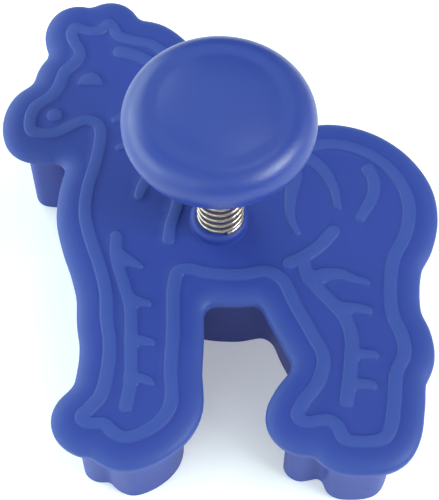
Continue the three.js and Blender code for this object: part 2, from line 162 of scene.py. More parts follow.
# Fineness; FAR stands for any distance past the reach of a raised line
GRID_STEP = 0.2
GRID_MARGIN = 3.0
FAR = 50.0
LOOP_STEP = 0.22
SAMPLE_STEP = 0.04
FILL_STEP = 1.0
FILL_ROW = FILL_STEP * math.sqrt(0.75)
FILL_CLEARANCE = 0.45 * FILL_STEP
FLANK_SHARES = (0.0, 0.17, 0.33, 0.5, 0.67, 0.83, 1.0)
LEAST_POINTS = 6
KNOT_STEPS = 40
TURN_STEPS = 128
STEM_STEPS = 64
EYE_POINTS = 60
FLANGE_STEPS = 12
FILLET_STEPS = 4
COLLAR_STEPS = 6
KNOB_EDGE_STEPS = 5
KNOB_RIM_STEPS = 40
CAP_STEPS = 55
STAMP_STEPS = 3
SHARP_ANGLE = math.radians(38)
WELD = 0.0005
SAME_POINT = 1e-7

# The figure's closed line, anticlockwise from above, about the middle of the figure
FIGURE_LINE = [
    # forelock, face, muzzle and throat
    (-21.0, 33.3), (-21.6, 32.2), (-21.2, 30.8), (-20.2, 28.7), (-20.8, 27.0), (-22.3, 25.2), (-23.0, 22.7),
    (-24.3, 20.6), (-26.2, 18.9), (-26.8, 16.6), (-26.4, 14.8), (-25.2, 14.4), (-22.8, 14.5), (-20.8, 15.7),
    (-18.7, 16.6), (-17.1, 16.0), (-16.6, 14.4),
    # neck, chest and front leg down to the hoof
    (-17.0, 10.0), (-18.0, 5.2), (-18.2, 1.0), (-17.3, -2.9), (-15.9, -7.0), (-14.9, -11.0), (-14.6, -15.2),
    (-14.1, -18.6), (-14.2, -22.2), (-15.0, -26.2), (-16.2, -27.8), (-17.3, -29.2), (-16.5, -30.0),
    (-14.3, -30.2), (-13.0, -31.4), (-11.6, -32.0), (-9.4, -31.3), (-7.0, -29.4),
    # back of the front leg, belly and front of the hind leg
    (-5.9, -27.2), (-6.0, -22.5), (-5.8, -17.0), (-5.8, -10.5), (-5.2, -8.0), (-3.9, -7.6), (-1.0, -8.3),
    (3.0, -8.5), (6.8, -8.0), (8.8, -9.2), (10.4, -12.8), (12.6, -17.4), (14.0, -20.8), (13.2, -24.2),
    # hind hoof and the back of the hind leg
    (11.1, -27.2), (10.4, -29.0), (11.3, -29.9), (14.2, -29.6), (15.5, -30.5), (16.3, -32.2), (18.8, -32.6),
    (21.2, -32.1), (22.2, -30.6), (22.9, -27.0), (23.4, -23.0), (24.6, -20.2), (24.5, -17.8), (23.4, -14.6),
    # haunch, back, mane and ear
    (23.3, -10.4), (24.1, -5.8), (25.8, -2.4), (26.6, 1.2), (26.2, 4.8), (24.0, 8.6), (20.6, 11.3),
    (16.5, 12.5), (12.0, 12.0), (8.0, 12.2), (4.0, 13.8), (0.5, 17.5), (-3.0, 22.8), (-6.8, 27.6),
    (-9.8, 30.2), (-12.6, 30.9), (-14.6, 31.7), (-15.5, 33.2), (-16.1, 34.0), (-17.0, 33.2), (-18.0, 32.6),
    (-19.6, 32.7),
]

# Stripes: the centre line of each, and its width at both ends in stripe widths
STRIPES = [
    # mane and neck
    ([(-14.2, 28.8), (-11.2, 27.8), (-8.2, 25.4), (-5.2, 21.2), (-3.0, 17.6)], (1.1, 0.45)),
    ([(-14.6, 16.7), (-11.8, 18.2), (-8.4, 19.0)], (0.45, 1.0)),
    ([(-13.9, 11.9), (-10.8, 13.2), (-7.0, 13.8)], (0.45, 1.0)),
    # shoulder
    ([(-10.8, 4.0), (-10.2, 6.0), (-8.4, 8.6)], (0.65, 1.0)),
    ([(-6.6, -3.0), (-6.3, -0.6), (-5.5, 2.3), (-5.3, 5.4)], (0.8, 0.8)),
    # front leg
    ([(-13.8, -2.5), (-13.6, -6.2), (-12.4, -10.2), (-11.6, -13.0), (-11.3, -19.2), (-11.2, -24.4),
      (-11.7, -27.8)], (0.8, 0.85)),
    ([(-13.2, -5.8), (-11.6, -6.6), (-10.45, -7.2)], (1.2, 0.4)),
    ([(-11.5, -12.45), (-10.4, -12.65), (-9.3, -12.9)], (1.0, 0.5)),
    ([(-11.3, -18.3), (-10.0, -18.4), (-8.8, -18.6)], (0.95, 0.6)),
    ([(-11.2, -23.8), (-9.6, -23.9), (-8.75, -24.3)], (0.85, 0.6)),
    # flank and haunch
    ([(11.0, -1.9), (10.2, 0.4), (10.3, 4.0), (11.0, 7.4)], (0.45, 1.0)),
    ([(16.8, 2.2), (16.4, 5.0), (15.2, 7.8), (13.5, 9.8)], (0.45, 1.0)),
    ([(21.3, 8.3), (22.0, 6.4), (21.7, 4.0), (19.8, 0.4)], (0.95, 0.65)),
    ([(16.0, -1.7), (14.3, -3.75), (12.4, -5.3), (9.8, -6.7)], (0.9, 0.9)),
    # hind leg
    ([(11.7, -6.3), (12.3, -8.6), (13.9, -11.0), (15.6, -13.0), (17.1, -15.1), (17.8, -18.0),
      (17.5, -22.0), (16.75, -27.1)], (0.9, 0.9)),
    ([(12.9, -9.2), (14.9, -8.5), (16.8, -8.5), (18.6, -9.25), (20.1, -9.65)], (1.25, 0.48)),
    ([(16.3, -13.5), (18.4, -13.6), (20.1, -13.95)], (0.95, 0.65)),
    ([(17.7, -20.4), (19.2, -20.35), (20.6, -20.45)], (0.8, 0.62)),
    ([(17.3, -24.6), (18.7, -24.65), (20.0, -24.75)], (0.85, 0.75)),
]
NOSTRIL = (-23.3, 17.5)
EYE = (-18.45, 22.85)


# Plane curves

figure_ys = [y for _, y in FIGURE_LINE]
FIGURE_SCALE = FIGURE_HEIGHT / (max(figure_ys) - min(figure_ys))


def drawn(points):
    """Points of the drawing in the frame's place and size."""
    return (np.array(points, float) - (PLUNGER_X, 0)) * FIGURE_SCALE + AXIS


def even(line, closed, spacing):
    """Evenly spaced points along a line."""
    if closed:
        line = np.vstack([line, line[:1]])
    steps = np.linalg.norm(np.diff(line, axis=0), axis=1)
    along = np.concatenate([[0], np.cumsum(steps)])
    count = max(LEAST_POINTS, round(along[-1] / spacing))
    at = np.linspace(0, along[-1], count + 1)
    if closed:
        at = at[:-1]
    return np.stack([np.interp(at, along, line[:, k]) for k in (0, 1)], axis=1)


def smooth(knots, closed, spacing):
    """Evenly spaced points on a centripetal curve through the knots."""
    knots = np.asarray(knots, float)
    if closed:
        padded = np.vstack([knots[-1:], knots, knots[:2]])
    else:
        padded = np.vstack([2 * knots[0] - knots[1], knots, 2 * knots[-1] - knots[-2]])
    t = np.linspace(0, 1, KNOT_STEPS, endpoint=False)[:, None]
    stretches = []
    for a, b, c, d in zip(padded, padded[1:], padded[2:], padded[3:]):
        ab, bc, cd = (math.sqrt(math.dist(p, q)) for p, q in ((a, b), (b, c), (c, d)))
        leaving = ((b - a) / ab - (c - a) / (ab + bc) + (c - b) / bc) * bc
        arriving = ((c - b) / bc - (d - b) / (bc + cd) + (d - c) / cd) * bc
        bend = 3 * (c - b) - 2 * leaving - arriving
        twist = 2 * (b - c) + leaving + arriving
        stretches.append(b + leaving * t + bend * t**2 + twist * t**3)
    if not closed:
        stretches.append(padded[-2:-1])
    return even(np.vstack(stretches), closed, spacing)


def outward(loop):
    """Unit normals to the right of travel, outwards on an anticlockwise loop."""
    along = np.roll(loop, -1, axis=0) - np.roll(loop, 1, axis=0)
    along = along / np.linalg.norm(along, axis=1)[:, None]
    return np.stack([along[:, 1], -along[:, 0]], axis=1)


def circle(radius, steps=TURN_STEPS):
    """Anticlockwise circle about the plunger's axis."""
    turn = np.linspace(0, 2 * math.pi, steps, endpoint=False)
    return AXIS + radius * np.stack([np.cos(turn), np.sin(turn)], axis=1)


def smoothstep(low, high, x):
    t = np.clip((x - low) / (high - low), 0, 1)
    return t * t * (3 - 2 * t)


# Distance fields on a grid over the plate

grid_low = np.array([body_low.x, body_low.y]) - GRID_MARGIN
grid_high = np.array([body_high.x, body_high.y]) + GRID_MARGIN
GRID_X = np.arange(grid_low[0], grid_high[0], GRID_STEP)
GRID_Y = np.arange(grid_low[1], grid_high[1], GRID_STEP)
GRID = np.stack(np.meshgrid(GRID_X, GRID_Y), axis=-1)
# Grid lines counted from the last one to a place just inside the last cell
LAST_CELL = 1.001


def nearest(samples, points):
    """Index of the nearest sample to each point, and its distance."""
    tree = kdtree.KDTree(len(samples))
    for i, (x, y) in enumerate(samples):
        tree.insert((x, y, 0), i)
    tree.balance()
    found = [tree.find((x, y, 0))[1:] for x, y in points]
    return np.array([i for i, _ in found]), np.array([d for _, d in found])


def signed_distance(loop, points):
    """Distance of points from a closed anticlockwise loop, negative inside it."""
    flat = points.reshape(-1, 2)
    index, distance = nearest(loop, flat)
    side = np.einsum("ij,ij->i", flat - loop[index], outward(loop)[index])
    return np.copysign(distance, side).reshape(points.shape[:-1])


def stripe_distance(path, widths):
    """Distance from a stripe's edge over the grid, negative in the stripe and large far from it."""
    line = smooth(drawn(path), False, SAMPLE_STEP)
    half = STRIPE_WIDTH / 2 * np.linspace(*widths, len(line))
    reach = STRIPE_WIDTH + 2 * MERGE
    near = np.all((GRID > line.min(0) - reach) & (GRID < line.max(0) + reach), axis=-1)
    field = np.full(GRID.shape[:2], FAR)
    index, distance = nearest(line, GRID[near])
    field[near] = distance - half[index]
    return field


def merged(a, b):
    """Union of two fields with a soft inner corner."""
    mix = np.clip(0.5 + 0.5 * (b - a) / MERGE, 0, 1)
    return b + (a - b) * mix - MERGE * mix * (1 - mix)


def sampled(field, points):
    """Value of a grid field at points."""
    x = np.clip((points[:, 0] - GRID_X[0]) / GRID_STEP, 0, len(GRID_X) - LAST_CELL)
    y = np.clip((points[:, 1] - GRID_Y[0]) / GRID_STEP, 0, len(GRID_Y) - LAST_CELL)
    j, i = x.astype(int), y.astype(int)
    u, v = x - j, y - i
    low = field[i, j] * (1 - u) + field[i, j + 1] * u
    high = field[i + 1, j] * (1 - u) + field[i + 1, j + 1] * u
    return low * (1 - v) + high * v


def contours(field, level):
    """Evenly spaced closed loops where the field has the level, with higher values on their left."""
    above = field > level
    width = field.shape[1]
    square = np.stack([above[:-1, :-1], above[:-1, 1:], above[1:, 1:], above[1:, :-1]], axis=-1)
    following = {}
    for i, j in np.argwhere(square.any(-1) & ~square.all(-1)):
        corners = square[i, j]
        flat = int(i) * width + int(j)
        sides = [(flat, flat + 1), (flat + 1, flat + 1 + width), (flat + width, flat + width + 1),
                 (flat, flat + width)]
        leaving = [k for k in range(4) if corners[k] and not corners[(k + 1) % 4]]
        entering = [k for k in range(4) if not corners[k] and corners[(k + 1) % 4]]
        for k in leaving:
            end = entering[0] if len(entering) == 1 else (k - 1) % 4
            following[sides[k]] = sides[end]
    loops = []
    values, places = field.ravel(), GRID.reshape(-1, 2)
    while following:
        first = at = next(iter(following))
        chain = []
        while at in following:
            chain.append(at)
            at = following.pop(at)
        if at != first:
            continue
        a, b = np.array(chain).T
        share = ((level - values[a]) / (values[b] - values[a]))[:, None]
        loops.append(even(places[a] + share * (places[b] - places[a]), True, LOOP_STEP))
    return loops


def closed_outline(distance, corner):
    """Loop at a distance outside the figure's line, with its inner corners rounded."""
    (room,) = contours(-figure_field, -(distance + corner))
    (loop,) = contours(-signed_distance(even(room, True, SAMPLE_STEP), GRID) - corner, 0)
    return loop


figure = smooth(drawn(FIGURE_LINE), True, SAMPLE_STEP)
figure_field = signed_distance(figure, GRID)


def half_ellipse():
    """Outline of the eye: the upper half of an ellipse."""
    centre = drawn([EYE])[0]
    turn = np.linspace(0, math.pi, EYE_POINTS)
    upper = np.stack([EYE_WIDTH / 2 * np.cos(turn), EYE_HEIGHT * np.sin(turn)], axis=1)
    return even(centre + upper, True, SAMPLE_STEP)


def drawing_field():
    """Distance from the edges of the stripes, the nostril and the eye."""
    field = np.full(GRID.shape[:2], FAR)
    for path, widths in STRIPES:
        field = merged(field, stripe_distance(path, widths))
    nostril = np.linalg.norm(GRID - drawn([NOSTRIL])[0], axis=-1) - NOSTRIL_RADIUS
    return merged(merged(field, nostril), signed_distance(half_ellipse(), GRID))


drawing = drawing_field()
plate_relief = merged(drawing, np.abs(figure_field) - LINE_WIDTH / 2)
crest_low, crest_high = drawn([(0, CREST_START), (0, CREST_END)])[:, 1]


def raised_crest(loop):
    """A loop drawn out over the crest of the head, as the flange is."""
    rise = CREST_RISE * smoothstep(crest_low, crest_high, loop[:, 1])
    return loop + np.stack([np.zeros(len(loop)), rise], axis=1)


flange_plain = closed_outline(FLANGE_REACH, FLANGE_CORNER)
flange_loop = even(raised_crest(flange_plain), True, LOOP_STEP)
flange_depth = -signed_distance(even(flange_loop, True, SAMPLE_STEP), GRID)
wall_loop = closed_outline(WALL_OUTSIDE, WALL_CORNER)
(inside_loop,) = contours(-figure_field, WALL_INSIDE)


# Meshes

def placed(name, data):
    """New object in the scene."""
    made = bpy.data.objects.new(name, data)
    bpy.context.scene.collection.objects.link(made)
    return made


class Shell:
    """Faces of one piece, collected sheet by sheet and welded where their points meet."""

    def __init__(self):
        self.points, self.faces, self.marks, self.count = [], [], [], 0

    def add(self, points, faces, marks=0.0):
        self.faces.extend(tuple(self.count + i for i in face) for face in faces)
        self.points.append(np.asarray(points, float))
        self.marks.append(np.broadcast_to(marks, len(points)))
        self.count += len(points)

    def joined(self, rings):
        """Closed rings of points, each joined to the next."""
        count = len(rings[0])
        faces = []
        for start in range(0, count * (len(rings) - 1), count):
            for i in range(count):
                j = (i + 1) % count
                faces.append((start + i, start + j, start + count + j, start + count + i))
        self.add(np.vstack(rings), faces)

    def walls(self, loop, profile):
        """Sheet round a closed loop from a profile of (outset, height)."""
        normals = outward(loop)
        self.joined([np.column_stack([loop + normals * out, np.full(len(loop), z)]) for out, z in profile])

    def lathe(self, profile, steps=TURN_STEPS):
        """Turned sheet about the plunger's axis from a profile of (radius, height)."""
        unit = circle(1.0, steps) - AXIS
        self.joined([np.column_stack([AXIS + unit * radius, np.full(steps, z)]) for radius, z in profile])

    def flat(self, outer, inner, z):
        """Level sheet between two closed loops."""
        faces, places = triangles(np.vstack([outer, inner]), [len(outer), len(inner)])
        centres = places[faces].mean(axis=1)
        keep = inside(outer, centres) & ~inside(inner, centres)
        self.add(np.column_stack([places, np.full(len(places), z)]), faces[keep].tolist())

    def object(self, name, material):
        """The piece as a smooth Blender object with sharp corners kept."""
        points = np.vstack(self.points)
        marks = np.concatenate(self.marks)
        keys = np.round(points / WELD).astype(np.int64)
        _, first, welded = np.unique(keys, axis=0, return_index=True, return_inverse=True)
        welded = welded.ravel()
        faces = []
        for face in self.faces:
            corners = tuple(dict.fromkeys(int(welded[i]) for i in face))
            if len(corners) > 2:
                faces.append(corners)
        mesh = bpy.data.meshes.new(name)
        mesh.from_pydata((points[first] * MM).tolist(), [], faces)
        # The attribute named raised holds the painted sheen: the share of paler colour on the raised lines
        # and along the flange's rounded edge.
        mark = mesh.attributes.new("raised", "FLOAT", "POINT")
        mark.data.foreach_set("value", marks[first].astype(np.float32))
        tidy = bmesh.new()
        tidy.from_mesh(mesh)
        bmesh.ops.remove_doubles(tidy, verts=tidy.verts, dist=WELD * MM)
        loose = [v for v in tidy.verts if not v.link_faces]
        bmesh.ops.delete(tidy, geom=loose, context="VERTS")
        bmesh.ops.recalc_face_normals(tidy, faces=tidy.faces)
        tidy.to_mesh(mesh)
        tidy.free()
        mesh.shade_smooth()
        mesh.set_sharp_from_angle(angle=SHARP_ANGLE)
        mesh.materials.append(material)
        return placed(name, mesh)


def inside(loop, points):
    """Which points lie inside a closed loop, by the sides that a ray from each one crosses."""
    x, y = points.T
    odd = np.zeros(len(points), bool)
    for (ax, ay), (bx, by) in zip(loop, np.roll(loop, -1, axis=0)):
        if ay != by:
            crossing = ax + (y - ay) * (bx - ax) / (by - ay)
            odd ^= ((ay > y) != (by > y)) & (x < crossing)
    return odd


def triangles(points, loop_counts):
    """Triangles over points that keep the edges of the closed loops that come first in them."""
    edges = []
    start = 0
    for count in loop_counts:
        edges.extend((start + i, start + (i + 1) % count) for i in range(count))
        start += count
    made = geometry.delaunay_2d_cdt([Vector(p) for p in points], edges, [], 0, SAME_POINT)
    places = np.array([tuple(v) for v in made[0]])
    return np.array(made[2]), places


def arc(centre, radius, start, end, steps):
    """Points of a circular arc in a profile, with its ends in degrees."""
    turns = np.radians(np.linspace(start, end, steps + 1))
    return [(centre[0] + radius * math.cos(a), centre[1] + radius * math.sin(a)) for a in turns]


def relief_sheet(shell, outline, depth, relief, levels, height, hole=None):
    """Sheet inside an outline, cut along levels of the depth inside it and of its relief."""
    cuts = [(outline, np.zeros(len(outline)), sampled(relief, outline))]
    for level in levels[1:]:
        for loop in contours(depth, level):
            cuts.append((loop, np.full(len(loop), level), sampled(relief, loop)))
    for level in np.interp(FLANK_SHARES, (0, 1), (FLANK_FOOT, FLANK_TOP)):
        for loop in contours(-relief, -level):
            cuts.append((loop, sampled(depth, loop), np.full(len(loop), level)))
    if hole is not None:
        cuts.append((hole, sampled(depth, hole), np.full(len(hole), FAR)))
    loops, depths, reliefs = zip(*cuts)
    fill = fill_points(depth, relief, levels[-1], hole)
    points = np.vstack([*loops, fill])
    faces, places = triangles(points, [len(loop) for loop in loops])
    index, distance = nearest(points, places)
    at_depth = np.concatenate([*depths, sampled(depth, fill)])[index]
    at_relief = np.concatenate([*reliefs, sampled(relief, fill)])[index]
    moved = distance > WELD
    at_depth[moved] = sampled(depth, places[moved])
    at_relief[moved] = sampled(relief, places[moved])
    centres = places[faces].mean(axis=1)
    keep = inside(outline, centres)
    if hole is not None:
        keep &= ~inside(hole, centres)
    # height also gives each point its share of the painted sheen.
    z, marks = height(at_depth, at_relief)
    shell.add(np.column_stack([places, z]), faces[keep].tolist(), marks)


def fill_points(depth, relief, edge_end, hole):
    """Points that fill the level stretches of a relief sheet."""
    rows = []
    for k, y in enumerate(np.arange(GRID_Y[0], GRID_Y[-1], FILL_ROW)):
        xs = np.arange(GRID_X[0], GRID_X[-1], FILL_STEP) + (k % 2) * FILL_STEP / 2
        rows.append(np.column_stack([xs, np.full(len(xs), y)]))
    points = np.vstack(rows)
    keep = sampled(depth, points) > edge_end + FILL_CLEARANCE
    keep &= sampled(relief, points) > FLANK_FOOT + FILL_CLEARANCE
    if hole is not None:
        radius = np.linalg.norm(hole[0] - AXIS)
        keep &= np.linalg.norm(points - AXIS, axis=1) > radius + FILL_CLEARANCE
    return points[keep]


def ridge(relief):
    """Share of the full height at a distance from a raised line's edge."""
    return smoothstep(FLANK_FOOT, FLANK_TOP, relief)


def edge_levels(width, steps):
    """Depths at which a rounded edge is cut into steps."""
    return list(width * (1 - np.cos(np.linspace(0, math.pi / 2, steps + 1))))


def edge_drop(depth, width, height):
    """Fall of an edge that is rounded as a quarter of an ellipse, at a depth inside its outline."""
    away = 1 - np.clip(depth / width, 0, 1)
    return height * (1 - np.sqrt(1 - away**2))


# Materials; sizes and depths are millimetres

# Range that a noise mostly keeps to
NOISE_LOW = 0.3
NOISE_HIGH = 0.7
# Colour sockets of a mix node
MIX_LOW = 6
MIX_HIGH = 7
MIX_RESULT = 2

# Plastic: faint clouds of colour, slow waves of the mould, a fine grain, and light let a little way in
CLOUD_SIZE = 9.0
CLOUD_DETAIL = 3.0
CLOUD_SHARE = 0.12
WAVE_SIZE = 3.5
WAVE_DETAIL = 1.0
WAVE_DEPTH = 0.02
WAVE_STRENGTH = 0.25
GRAIN_ROUGHNESS = 0.6
GRAIN_DEPTH = 0.02
PLASTIC_IOR = 1.49
GLOW_WEIGHT = 0.25
GLOW_RADIUS = (0.25, 0.4, 1.0)
GLOW_DEPTH = 0.9

# Wire: faint stains and the fine lines of the drawing die
STAIN_SIZE = 1.2
WIRE_DARK = (0.36, 0.285, 0.245)
WIRE_LIGHT = (0.49, 0.405, 0.365)
DIE_LINE_SIZE = 0.12
DIE_LINE_DEPTH = 0.004
DIE_LINE_STRENGTH = 0.1
WIRE_SMOOTHEST = 0.12
WIRE_ROUGHEST = 0.26
WIRE_METALLIC = 0.8


def tree_of(material):
    """Nodes and links of a new material, and its shader."""
    material.use_nodes = True
    tree = material.node_tree
    return tree.nodes, tree.links, tree.nodes["Principled BSDF"]


def noise(nodes, links, scale, detail=2.0, roughness=0.5):
    """Noise in the object's own place."""
    place = nodes.new("ShaderNodeTexCoord")
    texture = nodes.new("ShaderNodeTexNoise")
    texture.inputs["Scale"].default_value = 1 / (scale * MM)
    texture.inputs["Detail"].default_value = detail
    texture.inputs["Roughness"].default_value = roughness
    links.new(place.outputs["Object"], texture.inputs["Vector"])
    return texture.outputs["Fac"]


def ramp(nodes, links, source, low, high):
    """Number that runs from low to high with a noise."""
    node = nodes.new("ShaderNodeMapRange")
    node.inputs["From Min"].default_value = NOISE_LOW
    node.inputs["From Max"].default_value = NOISE_HIGH
    node.inputs["To Min"].default_value = low
    node.inputs["To Max"].default_value = high
    links.new(source, node.inputs["Value"])
    return node.outputs["Result"]


def mixed(nodes, links, factor, low, high):
    """Colour that runs from low to high with a factor."""
    node = nodes.new("ShaderNodeMix")
    node.data_type = "RGBA"
    links.new(factor, node.inputs["Factor"])
    node.inputs[MIX_LOW].default_value = (*low, 1)
    node.inputs[MIX_HIGH].default_value = (*high, 1)
    return node.outputs[MIX_RESULT]


def bump(nodes, links, bsdf, heights):
    """Chain of bumps, each a height output with its depth and strength."""
    normal = None
    for height, depth, strength in heights:
        node = nodes.new("ShaderNodeBump")
        node.inputs["Distance"].default_value = depth * MM
        node.inputs["Strength"].default_value = strength
        links.new(height, node.inputs["Height"])
        if normal is not None:
            links.new(normal, node.inputs["Normal"])
        normal = node.outputs["Normal"]
    links.new(normal, bsdf.inputs["Normal"])


def blue_plastic(name, deep, light, roughness, spread, size, grain, shine):
    """Moulded plastic with a spark-eroded grain, a little light let through, and a painted sheen: a paler
    colour on the raised lines and the flange's rounded edge.
    """
    material = bpy.data.materials.new(name)
    nodes, links, bsdf = tree_of(material)
    # The raised attribute mixes in the light colour as a painted sheen, with random clouds of tone added on
    # top.
    mark = nodes.new("ShaderNodeAttribute")
    mark.attribute_name = "raised"
    cloud = ramp(nodes, links, noise(nodes, links, CLOUD_SIZE, CLOUD_DETAIL), -CLOUD_SHARE, CLOUD_SHARE)
    share = nodes.new("ShaderNodeMath")
    share.operation = "ADD"
    share.use_clamp = True
    links.new(mark.outputs["Fac"], share.inputs[0])
    links.new(cloud, share.inputs[1])
    links.new(mixed(nodes, links, share.outputs[0], deep, light), bsdf.inputs["Base Color"])
    fine = noise(nodes, links, size, roughness=GRAIN_ROUGHNESS)
    links.new(ramp(nodes, links, fine, roughness - spread, roughness + spread), bsdf.inputs["Roughness"])
    wave = noise(nodes, links, WAVE_SIZE, WAVE_DETAIL)
    bump(nodes, links, bsdf, [(wave, WAVE_DEPTH, WAVE_STRENGTH), (fine, GRAIN_DEPTH, grain)])
    bsdf.inputs["IOR"].default_value = PLASTIC_IOR
    bsdf.inputs["Specular IOR Level"].default_value = shine
    bsdf.inputs["Subsurface Weight"].default_value = GLOW_WEIGHT
    bsdf.inputs["Subsurface Radius"].default_value = GLOW_RADIUS
    bsdf.inputs["Subsurface Scale"].default_value = GLOW_DEPTH * MM
    return material


def spring_wire(name):
    """Bright drawn wire with fine die lines."""
    material = bpy.data.materials.new(name)
    nodes, links, bsdf = tree_of(material)
    stain = noise(nodes, links, STAIN_SIZE)
    links.new(mixed(nodes, links, stain, WIRE_DARK, WIRE_LIGHT), bsdf.inputs["Base Color"])
    lines = noise(nodes, links, DIE_LINE_SIZE)
    links.new(ramp(nodes, links, lines, WIRE_SMOOTHEST, WIRE_ROUGHEST), bsdf.inputs["Roughness"])
    bump(nodes, links, bsdf, [(lines, DIE_LINE_DEPTH, DIE_LINE_STRENGTH)])
    bsdf.inputs["Metallic"].default_value = WIRE_METALLIC
    return material


# light is the paler colour of the painted sheen; on the knob, which has no marks, it shows only through
# random clouds of tone.
body_blue = blue_plastic("body_blue", deep=(0.022, 0.044, 0.27), light=(0.034, 0.064, 0.292),
                         roughness=0.5, spread=0.06, size=0.22, grain=0.5, shine=0.3)
knob_blue = blue_plastic("knob_blue", deep=(0.022, 0.047, 0.27), light=(0.024, 0.050, 0.28),
                         roughness=0.35, spread=0.05, size=0.3, grain=0.7, shine=0.5)
stamp_blue = blue_plastic("stamp_blue", deep=(0.022, 0.044, 0.27), light=(0.024, 0.050, 0.28),
                          roughness=0.5, spread=0.06, size=0.22, grain=0.4, shine=0.3)
wire_steel = spring_wire("wire_steel")


# Pieces

def cutter_shell():
    """Flanged plate with its raised drawing, the skirt under it and the collar on it, as one moulding."""
    shell = Shell()
    hole = circle(COLLAR_RADIUS + COLLAR_FILLET)

    def height(depth, relief):
        up = ridge(relief)
        drop = edge_drop(depth, FLANGE_ROUNDING_WIDTH, FLANGE_ROUNDING_HEIGHT)
        # Painted sheen: the raised lines and the band along the flange's rounded edge get a paler colour
        # for the light they catch.
        painted_sheen = np.maximum(up, smoothstep(FLANGE_ROUNDING_WIDTH, 0, depth))
        return PLATE_TOP - drop + LINE_HEIGHT * up, painted_sheen

    levels = edge_levels(FLANGE_ROUNDING_WIDTH, FLANGE_STEPS)
    relief_sheet(shell, flange_loop, flange_depth, plate_relief, levels, height, hole)
    under = FLANGE_UNDER_EDGE
    shell.walls(flange_loop, [
        (0, PLATE_TOP - FLANGE_ROUNDING_HEIGHT),
        *arc((-under, SKIRT_HEIGHT + under), under, 0, -90, FILLET_STEPS),
    ])
    lip_set = WALL_OUTSIDE + WALL_INSIDE - LIP_WIDTH
    shell.walls(wall_loop, [
        *arc((WALL_FILLET, SKIRT_HEIGHT - WALL_FILLET), WALL_FILLET, 90, 180, FILLET_STEPS),
        (0, LIP_HEIGHT),
        (-lip_set + LIP_ROUNDING_WIDTH, LIP_ROUNDING_HEIGHT),
        (-lip_set, 0),
    ])
    normals = outward(wall_loop)
    shell.flat(flange_loop - outward(flange_loop) * under, wall_loop + normals * WALL_FILLET, SKIRT_HEIGHT)
    shell.flat(wall_loop - normals * lip_set, inside_loop, 0)
    shell.walls(inside_loop, [(0, 0), (0, SKIRT_HEIGHT)])
    shell.flat(inside_loop, circle(GUIDE_RADIUS), SKIRT_HEIGHT)
    foot = (COLLAR_RADIUS + COLLAR_FILLET, PLATE_TOP + COLLAR_FILLET)
    rim = (COLLAR_RADIUS - COLLAR_ROUNDING, COLLAR_TOP - COLLAR_ROUNDING)
    shell.lathe([
        *arc(foot, COLLAR_FILLET, 270, 180, FILLET_STEPS),
        *arc(rim, COLLAR_ROUNDING, 0, 90, COLLAR_STEPS),
        (GUIDE_RADIUS + BORE_CHAMFER, COLLAR_TOP),
        (GUIDE_RADIUS, COLLAR_TOP - BORE_CHAMFER),
        (GUIDE_RADIUS, SKIRT_HEIGHT),
    ])
    return shell.object("cutter_shell", body_blue)


def cap_height(radius, edge):
    """Height of the knob's cap over the rim, with a soft foot round its edge."""
    dome = CAP_RISE * (1 - (radius / edge)**CAP_POWER)
    return (dome + math.hypot(dome, CAP_FOOT)) / 2


def knob_shell():
    """Button with a round rim, a low domed cap on its top and a core round its hub underneath."""
    shell = Shell()
    cap_edge = KNOB_TOP - CAP_RISE
    rim = (KNOB_RADIUS - KNOB_RIM_RADIUS, cap_edge - KNOB_RIM_RADIUS)
    bottom = rim[1] - KNOB_TUCK
    edge_reach = KNOB_RIM_RADIUS - KNOB_LOWER_EDGE
    lower = -math.degrees(math.asin((KNOB_TUCK - KNOB_LOWER_EDGE) / edge_reach))
    edge_out = rim[0] + edge_reach * math.cos(math.radians(lower))
    cap_radius = rim[0] - CAP_BORDER
    core_top = cap_edge - KNOB_WALL
    socket_top = cap_edge - KNOB_SOCKET_WEB
    core = rim[0] - KNOB_LEDGE
    hub_edge = (KNOB_HUB_RADIUS - HUB_ROUNDING, KNOB_HUB_BOTTOM + HUB_ROUNDING)
    shell.lathe([
        (0, socket_top),
        (SOCKET_RADIUS, socket_top),
        (SOCKET_RADIUS, SPRING_HEAD),
        (POCKET_RADIUS, SPRING_HEAD),
        (POCKET_RADIUS, KNOB_HUB_BOTTOM + HUB_CHAMFER),
        (POCKET_RADIUS + HUB_CHAMFER, KNOB_HUB_BOTTOM),
        *arc(hub_edge, HUB_ROUNDING, -90, 0, FILLET_STEPS),
        (KNOB_HUB_RADIUS, core_top),
        (core, core_top),
        (core, bottom),
        *arc((edge_out, bottom + KNOB_LOWER_EDGE), KNOB_LOWER_EDGE, -90, lower, KNOB_EDGE_STEPS),
        *arc(rim, KNOB_RIM_RADIUS, lower, 90, KNOB_RIM_STEPS)[1:],
        *[(r, cap_edge + cap_height(r, cap_radius)) for r in np.linspace(rim[0], 0, CAP_STEPS + 1)[1:]],
    ])
    return shell.object("knob_button", knob_blue)


def stem_shell():
    """Round rod with chamfered ends."""
    shell = Shell()
    low, high = stem_low.z, stem_high.z
    shell.lathe([
        (0, low),
        (STEM_RADIUS - STEM_CHAMFER, low),
        (STEM_RADIUS, low + STEM_CHAMFER),
        (STEM_RADIUS, high - STEM_CHAMFER),
        (STEM_RADIUS - STEM_CHAMFER, high),
        (0, high),
    ], STEM_STEPS)
    return shell.object("stem_rod", knob_blue)


